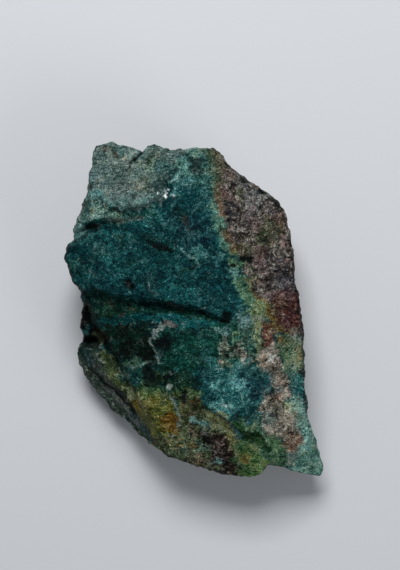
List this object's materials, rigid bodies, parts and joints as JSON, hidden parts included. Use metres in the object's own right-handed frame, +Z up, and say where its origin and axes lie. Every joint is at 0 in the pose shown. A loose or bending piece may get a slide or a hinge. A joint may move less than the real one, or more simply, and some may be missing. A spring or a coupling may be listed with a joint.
{
  "type": "rough turquoise",
  "caption": "Loose rough lump of dark teal stone with maroon, ochre and beige patches, lying on its flat underside.",
  "frame": {"origin": "centre of the flat underside's plane, below the middle of the stone's box", "axes": "+Z up out of the broad face, +Y along the stone's length towards its blunt end, +X towards the maroon side"},
  "size_m": [0.1182, 0.1523, 0.0522],
  "materials": {
    "turquoise": "broken rough stone, satin in places, dark teal with maroon, ochre and beige patches"
  },
  "bodies": {
    "root": {"turquoise_stone": "turquoise"}
  },
  "joints": []
}
